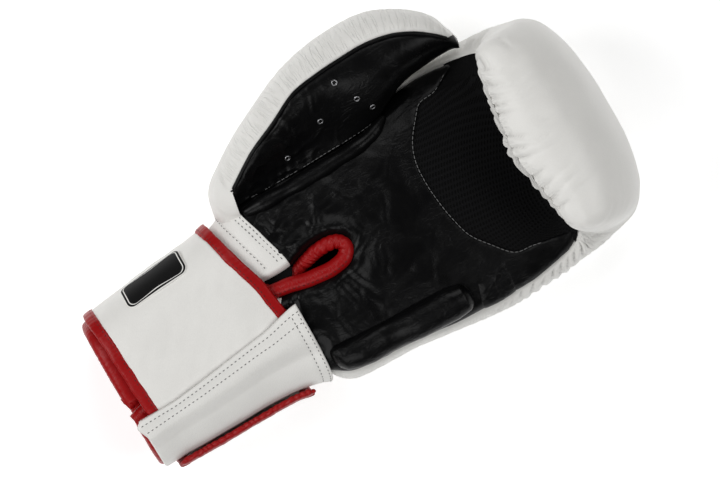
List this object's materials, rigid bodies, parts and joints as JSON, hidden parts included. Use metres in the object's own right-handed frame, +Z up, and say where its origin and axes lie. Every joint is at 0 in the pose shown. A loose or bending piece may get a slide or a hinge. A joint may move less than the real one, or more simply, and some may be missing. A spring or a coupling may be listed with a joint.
{
  "type": "boxing glove",
  "caption": "Padded left hand boxing glove with a curled finger roll, mesh palm, attached thumb and a bound wrist strap, lying on its back.",
  "frame": {"origin": "middle of the glove's bounding box, on the surface it lies on", "axes": "+X from the open cuff to the knuckles, +Y to the thumb side, +Z up out of the palm"},
  "size_m": [0.3116, 0.1806, 0.1143],
  "materials": {
    "white_leather": "smooth white cowhide with a fine grain and gathers along its seams",
    "black_leather": "soft black leather with creases",
    "black_mesh": "black spacer mesh with small holes",
    "red_leather": "glossy red leather binding with a stitched edge",
    "eyelet_metal": "dark lacquered metal",
    "label_print": "black woven label with white lines"
  },
  "bodies": {
    "root": {"fist_shell": "white_leather", "palm_panel": "black_leather", "palm_mesh": "black_mesh", "little_finger_panel": "black_leather", "heel_pad": "black_leather", "thumb_shell": "white_leather", "thumb_panel": "black_leather", "thumb_seam_roll": "black_leather", "eyelet_1": "eyelet_metal", "eyelet_2": "eyelet_metal", "eyelet_3": "eyelet_metal", "eyelet_4": "eyelet_metal", "eyelet_5": "eyelet_metal", "cuff": "white_leather", "cuff_binding": "red_leather", "slit_binding": "red_leather", "strap": "white_leather", "strap_binding_hand_side": "red_leather", "strap_binding_cuff_side": "red_leather", "strap_end_binding": "red_leather", "strap_patch": "white_leather", "label": "label_print"}
  },
  "joints": []
}
